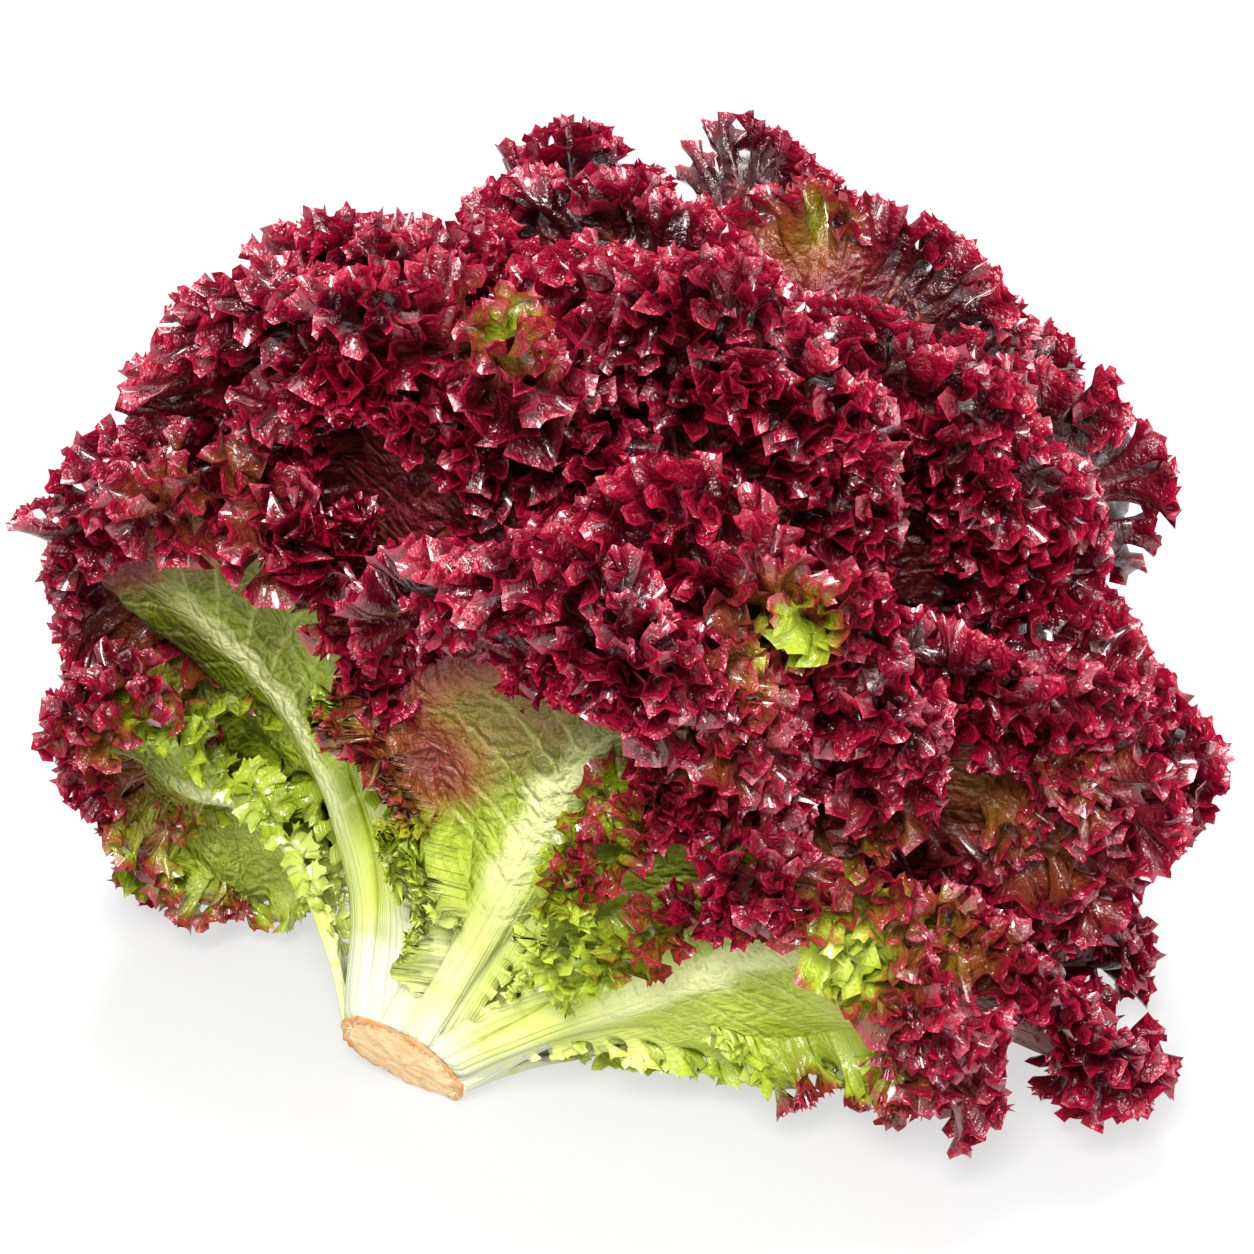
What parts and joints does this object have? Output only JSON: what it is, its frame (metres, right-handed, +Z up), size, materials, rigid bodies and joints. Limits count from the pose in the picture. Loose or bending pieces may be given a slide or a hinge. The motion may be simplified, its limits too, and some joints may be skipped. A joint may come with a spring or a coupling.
{
  "type": "lollo rosso lettuce",
  "caption": "Head of lollo rosso lettuce lying on its side: red, frilled leaves spread round a small heart from a short cut stem.",
  "frame": {"origin": "centre of the bounding box, on the surface that the head lies on", "axes": "+Z up; +X from the cut butt towards the crown; +Y across the head, along its longest side"},
  "size_m": [0.2187, 0.2649, 0.1802],
  "materials": {
    "stem_white": "matte",
    "leaf_red": "satin",
    "heart_red": "satin"
  },
  "bodies": {
    "root": {"stem_butt": "stem_white", "leaf_01": "leaf_red", "leaf_02": "leaf_red", "leaf_03": "leaf_red", "leaf_04": "leaf_red", "leaf_05": "leaf_red", "leaf_06": "leaf_red", "leaf_07": "leaf_red", "leaf_08": "leaf_red", "leaf_09": "leaf_red", "leaf_10": "leaf_red", "leaf_11": "leaf_red", "leaf_12": "leaf_red", "leaf_13": "leaf_red", "leaf_14": "leaf_red", "leaf_15": "leaf_red", "leaf_16": "leaf_red", "leaf_17": "leaf_red", "leaf_18": "leaf_red", "leaf_19": "leaf_red", "leaf_20": "leaf_red", "leaf_21": "leaf_red", "leaf_22": "leaf_red", "leaf_23": "leaf_red", "leaf_24": "leaf_red", "heart_leaves": "heart_red"}
  },
  "joints": []
}
